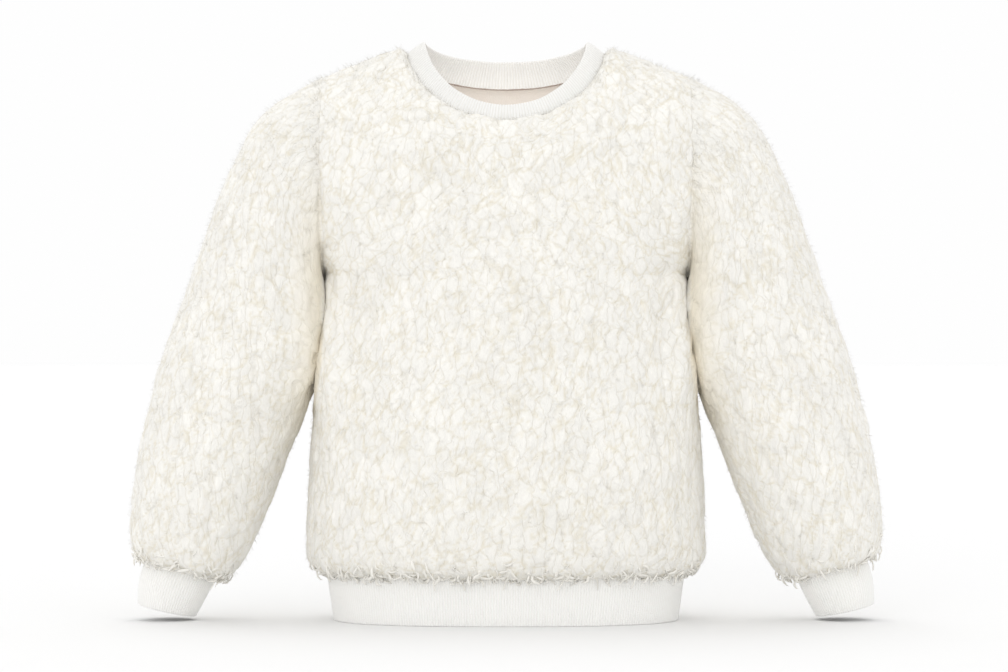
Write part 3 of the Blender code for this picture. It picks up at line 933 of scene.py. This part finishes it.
strandLook = {
    "warpScale": 95,  # noise that bends the strands, and how far
    "warp": (0.55, 0.55, 0.0),
    "hairs": (26, 3.2, 0),  # to one unit of the UV map, across the nap and along it
    "clumps": (2.2, 0.85, 0),
    "lineSharpness": 11.0,
    "broadScale": 22.0,
}


def strandGroup():
    # fine strands and the clumps they form, by the pile's own UV map
    group, given, made = newGroup("pile strands", ("UV", "Place"), (),
                                  ("Height", "Shade", "Lines"))
    calc = partial(mathNode, group)
    warp = addNode(group, "TexNoise", {"Vector": given["Place"], "Scale": strandLook["warpScale"],
                                       "Detail": 1.0})
    bent = vectorNode(group, "MULTIPLY_ADD", warp.outputs["Color"], strandLook["warp"], given["UV"])
    hair = noise(group, vectorNode(group, "MULTIPLY", bent, strandLook["hairs"]), 1.0, 2.0, 0.6)
    coarse = vectorNode(group, "MULTIPLY", bent, strandLook["clumps"])
    clump = addNode(group, "TexVoronoi", {"Vector": coarse, "Scale": 1.0},
                    feature="DISTANCE_TO_EDGE", voronoi_dimensions="2D")
    inside = calc(clump.outputs["Distance"], strandLook["lineSharpness"], clamp=True)
    broad = calc(noise(group, given["Place"], strandLook["broadScale"], 3.0, 0.55), 0.4)
    group.links.new(calc(inside, 0.5, hair), made["Height"])
    group.links.new(calc(hair, 0.6, broad), made["Shade"])
    # clump outlines, which the pile's colour shows as painted crevice shade
    group.links.new(calc(1.0, inside, operation="SUBTRACT"), made["Lines"])
    return group


def knitGroup():
    # chevrons of knit stitches along each rib, by the band's UV map in ribs and rows
    group, given, made = newGroup("rib stitches", ("UV",), ("Ribs", "Rows"), ("Height", "Groove"))
    calc = partial(mathNode, group)
    parts = addNode(group, "SeparateXYZ", {0: given["UV"]}).outputs
    ribs = calc(parts[0], given["Ribs"])
    within = calc(ribs, 0.5, operation="PINGPONG")
    slant = calc(within, 1.1)
    rows = calc(parts[1], given["Rows"])
    turn = calc(calc(rows, slant, operation="ADD"), math.tau)
    stitch = calc(turn, operation="SINE")
    # mask of the grooves between ribs, used for painted groove shade
    groove = calc(calc(within, 2.0), 1.0, 0.2, operation="SMOOTH_MIN")
    group.links.new(calc(stitch, 0.5, 0.5), made["Height"])
    group.links.new(groove, made["Groove"])
    return group


strands = strandGroup()
stitches = knitGroup()


def newMaterial(name):
    material = bpy.data.materials.new(name)
    material.use_nodes = True
    tree = material.node_tree
    return material, tree, tree.nodes["Principled BSDF"].inputs


def objectPlace(tree):
    return addNode(tree, "TexCoord", {}).outputs["Object"]


def uvMap(tree, name):
    return addNode(tree, "UVMap", {}, uv_map=name).outputs[0]


def shaded(tree, colour, shade):
    # the colour times a grey
    grey = addNode(tree, "CombineColor", {0: shade, 1: shade, 2: shade}).outputs[0]
    return mixColours(tree, 1.0, colour, grey, "MULTIPLY")


def finishMaterial(tree, shader, colour, look, height, strength, distance):
    # strength and distance are of the relief
    tree.links.new(colour, shader["Base Color"])
    shader["Roughness"].default_value = look["roughness"]
    shader["Sheen Weight"].default_value = look["sheen"]
    if strength:
        relief = addNode(tree, "Bump", {"Height": height, "Strength": strength, "Distance": distance})
        tree.links.new(relief.outputs[0], shader["Normal"])


fleeceLook = {
    # painted shade: the pile's colour goes from darker and warmer at the roots, deep in the pile, to
    # lighter at the tips
    "root": (0.884, 0.862, 0.802),
    "middle": (0.893, 0.874, 0.824),
    "tip": (0.900, 0.884, 0.840),
    "gap": (0.85, 0.79, 0.665),
    # painted shade in the crevices between tufts, along the sides of locks and on clump outlines
    "crease": (0.79, 0.745, 0.635),
    "creaseShadeShare": 0.80,
    "tintShare": 0.025,
    "shadeShare": 0.30,
    "roughness": 0.9,
    "sheen": 0.12,
}


def fleeceMaterial(name, relief, lineShare):
    look = fleeceLook
    material, tree, shader = newMaterial(name)
    calc, mix = partial(mathNode, tree), partial(mixColours, tree)
    strand = addNode(tree, "Group", {"UV": uvMap(tree, "lock"), "Place": objectPlace(tree)},
                     node_tree=strands).outputs
    height, tint, crease, warmth = (
        addNode(tree, "Attribute", {}, attribute_name=label).outputs["Fac"] for label in pileMarks)
    # painted shade by depth: lower in the pile the colour is darker, from the root colour up to the tip
    # colour
    lower = calc(height, 3.0, -1.0, clamp=True)
    upper = calc(height, 3.0, -1.9, clamp=True)
    colour = mix(lower, look["root"], look["middle"])
    colour = mix(upper, colour, look["tip"])
    colour = mix(warmth, colour, look["gap"])
    # painted crevice shade: darker along tuft edges, lock sides and clump outlines
    edge = calc(crease, look["creaseShadeShare"])
    edge = calc(strand["Lines"], lineShare, edge, clamp=True)
    colour = mix(edge, colour, look["crease"])
    shade = calc(strand["Shade"], look["shadeShare"], -look["shadeShare"] / 2)
    shade = calc(shade, calc(tint, look["tintShare"], 1.0), operation="ADD")
    finishMaterial(tree, shader, shaded(tree, colour, shade), look, strand["Height"], relief, 0.0010)
    return material


clothLook = {
    "face": (0.885, 0.84, 0.78),
    "shade": (0.89, 0.82, 0.75),
    "weaveScale": 700,
    "roughness": 0.9,
    "sheen": 0.2,
}


def clothMaterial():
    look = clothLook
    material, tree, shader = newMaterial("backing cloth")
    spots = objectPlace(tree)
    weave = addNode(tree, "TexVoronoi", {"Vector": spots, "Scale": look["weaveScale"]})
    colour = mixColours(tree, noise(tree, spots, 60, 3), look["shade"], look["face"])
    finishMaterial(tree, shader, colour, look, weave.outputs["Distance"], 0.5, 0.0006)
    return material


ribLook = {
    # the collar's seam line: the seam's own colour with painted shadow along it
    "seam": (0.40, 0.31, 0.26),
    "seamWaver": 0.05,
    "rib": (0.968, 0.965, 0.948),
    # painted shade in the grooves between the ribs
    "groove": (0.86, 0.84, 0.79),
    "roughness": 0.88,
    "sheen": 0.6,
}


def ribMaterial(name, form):
    look = ribLook
    material, tree, shader = newMaterial(name)
    calc = partial(mathNode, tree)
    uv, spots = uvMap(tree, "cloth"), objectPlace(tree)
    knit = addNode(tree, "Group", {"UV": uv, "Ribs": form["ribs"], "Rows": form["stitchRows"]},
                   node_tree=stitches).outputs
    # painted shade: the grooves between ribs are coloured darker, more on the collar than on the hem and
    # cuffs
    share = calc(knit["Groove"], form["grooveShadeShare"])
    colour = mixColours(tree, share, look["rib"], look["groove"])
    if form["seam"]:
        # the sewn lower edge shows as a darker, wavy line, for the seam and the painted shadow along it
        up = addNode(tree, "SeparateXYZ", {0: uv}).outputs[1]
        below = calc(form["seam"], up, operation="SUBTRACT")
        line = calc(noise(tree, spots, 130, 2), look["seamWaver"], below)
        line = calc(line, 40, clamp=True)
        colour = mixColours(tree, line, colour, look["seam"])
    # painted light and shade per band: the hem is painted lighter and the collar darker than the cuffs,
    # for how the light falls on each; the noise adds random tone
    shade = calc(noise(tree, spots, 35, 3), 0.05, 0.975 * form["shade"])
    height = calc(noise(tree, spots, 900, 2), 0.35, knit["Height"])
    finishMaterial(tree, shader, shaded(tree, colour, shade), look, height, 0.5, 0.0004)
    return material


mattedPile = fleeceMaterial("matted pile", 0.7, 0.42)
looseHair = fleeceMaterial("loose hair", 0.0, 0.0)
backingCloth = clothMaterial()
print("materials ready")


def addPiece(piece, material, node):
    piece.data.materials.append(material)
    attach(piece, "root")
    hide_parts(node)
    print(piece.name, "triangles", sum(len(face.vertices) - 2 for face in piece.data.polygons))


def fleecePieces(node, part, cloth, lockSkins, matSkins, seed):
    # backing cloth, loose hairs and matted pile of one sewn piece
    closed = part == "sleeve"
    closeness = gapFill("sleeve" if closed else "body")
    addPiece(cloth, backingCloth, node)
    fur = pilePiece(node + "_locks", *lockSkins, closed, np.random.default_rng(seed), closeness)
    addPiece(fur, looseHair, node)
    base = matPiece(node + "_pile", *matSkins, closed, np.random.default_rng(seed + 100),
                    mat["finer"][part], closeness)
    addPiece(base, mattedPile, node)
    print(node, "made")
    return cloth, fur, base


# Body

def meetRib(skin, target, rows):
    # rows of the cloth move over until its lower edge lies on the target
    out = skin.copy()
    for row in range(rows):
        out[row] += (target - skin[0]) * (1 - row / rows) ** 2
    return out


def hemTarget(low, half):
    size = np.array([hemForm["top"][1], hemForm["top"][2 if half == "front" else 3]])
    stretch = (size - clothForm["gapAtRib"]) / np.abs(low[:, :2]).max(axis=0)
    return low * np.append(stretch, 1) + np.array([0, 0, clothForm["hemRise"]])


def rolledAtNeck(skin, half, inset):
    # the pile rolls down from its crest to the collar, and a little way into the shoulder seam
    last = skin[-1]
    end = last - np.array([0, 0, clothForm["neckDrop"]])
    edge = neckLine(half, inset)
    start = (len(last) - len(edge)) // 2
    end[start:start + len(edge)] = edge
    return np.concatenate([skin, [blend(last, end, share) for share in (1 / 3, 2 / 3, 1.0)]])


fleece = {}
insets = (0.0, garment["pileWall"])  # of the outer and the inner skin
for half in ("front", "back"):
    outer, inner = (panelSkin(half, inset) for inset in insets)
    low = meetRib(inner, hemTarget(inner[0], half), clothForm["hemRows"])
    cloth = clothShell(half + "_cloth", low, outer, False, neckLine(half, garment["pileWall"]))
    skins = [rolledAtNeck(skin, half, inset) for skin, inset in zip((outer, inner), insets)]
    fleece[half] = fleecePieces(half, half, cloth, skins, skins, garment["seed"] + len(half))


# Sleeves

for label, side in (("left", 1), ("right", -1)):
    skins = [sleeveSkin(side, inset) for inset in insets]
    target = ringPoints(cuffForm["rings"][1], sleeveTurns(), clothForm["gapAtRib"], side)
    low = meetRib(skins[1][::-1], target, clothForm["cuffRows"])[::-1]
    cloth = clothShell("sleeve_" + label + "_cloth", low, skins[0], True)
    into = np.array([side * clothForm["reach"], 0, 0])
    longer = [np.concatenate([skin[:1] - into, skin]) for skin in skins]
    node = "sleeve_" + label
    fleece[node] = fleecePieces(node, "sleeve", cloth, skins, longer, garment["seed"] + 20 + side)


# Hem, collar and cuffs

bands = {}
for node, surface, form in (("hem", hemPoint, hemForm), ("collar", collarPoint, collarBand),
                            ("cuff_left", cuffSurface(1), cuffBand),
                            ("cuff_right", cuffSurface(-1), cuffBand)):
    bands[node] = bandPiece(node + "_rib", surface, form)
    knitName = node.split("_")[0] + " rib knit"
    knit = bpy.data.materials.get(knitName) or ribMaterial(knitName, form)
    addPiece(bands[node], knit, node)
print("bands made")


# What each sheet was cut to: width, length, area where it isn't their product, and what holds it

cuts = {
    "front": (0.52, 0.50, 0.232, ["collar", "back"]),
    "back": (0.52, 0.54, 0.240, ["collar", "front"]),
    "sleeve_left": (0.50, 0.42, 0.155, ["front", "back"]),
    "sleeve_right": (0.50, 0.42, 0.155, ["front", "back"]),
    "hem": (0.94, 0.056, None, ["front", "back"]),
    "collar": (0.55, 0.030, None, ["front", "back"]),
    "cuff_left": (0.225, 0.053, None, ["sleeve_left"]),
    "cuff_right": (0.225, 0.053, None, ["sleeve_right"]),
}

for node, (width, length, area, hangsFrom) in cuts.items():
    sheet, *others = fleece.get(node) or [bands[node]]
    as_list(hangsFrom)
    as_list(others)


# Floor, light and camera

studio = {
    "floor": 60.0,
    "floorPaint": 0.888,
    "world": 0.992,
    "camera": (-0.002, -3.5, -0.303),
    "sensor": 36,
    "focus": 3399 / 1008,  # in picture widths
    "neckLight": {"place": (0, -0.015, -0.105), "size": 0.03, "power": 0.20},
}

bpy.ops.mesh.primitive_plane_add(size=studio["floor"], location=(0, 0, garment["floorHeight"]))
floor = bpy.context.object
floor.name = "floor"
floorPaint, tree, shader = newMaterial("white floor")
shader["Base Color"].default_value = (*[studio["floorPaint"]] * 3, 1)
shader["Roughness"].default_value = 0.9
floor.data.materials.append(floorPaint)

world = bpy.data.worlds.new("studio")
bpy.context.scene.world = world
world.use_nodes = True
background = world.node_tree.nodes["Background"].inputs
background["Color"].default_value = (1, 1, 1, 1)
background["Strength"].default_value = studio["world"]


def sunLight(name, source, spread, strength):
    light = bpy.data.lights.new(name, "SUN")
    light.angle = math.radians(spread)
    light.energy = strength
    x, y, z = source
    tilt = (math.atan2(math.hypot(x, y), z), 0, math.atan2(x, -y))
    addObject(name, light, source).rotation_euler = tilt


sunLight("top light", (-0.25, 0.9, 2.2), 35, 0.34)
sunLight("front light", (-0.4, -1.6, 0.6), 40, 0.36)

# a small soft light inside the neck, as a bounce card would give
bounce = bpy.data.lights.new("neck light", "POINT")
bounce.shadow_soft_size = studio["neckLight"]["size"]
bounce.energy = studio["neckLight"]["power"]
addObject("neck light", bounce, studio["neckLight"]["place"]).visible_camera = False

lens = bpy.data.cameras.new("camera")
lens.sensor_width = studio["sensor"]
lens.lens = studio["sensor"] * studio["focus"]
lens.clip_end = 50
camera = addObject("camera", lens, studio["camera"])
camera.rotation_euler = (math.pi / 2, 0, 0)
bpy.context.scene.camera = camera
bpy.context.scene.view_settings.view_transform = "Standard"
print("studio ready")
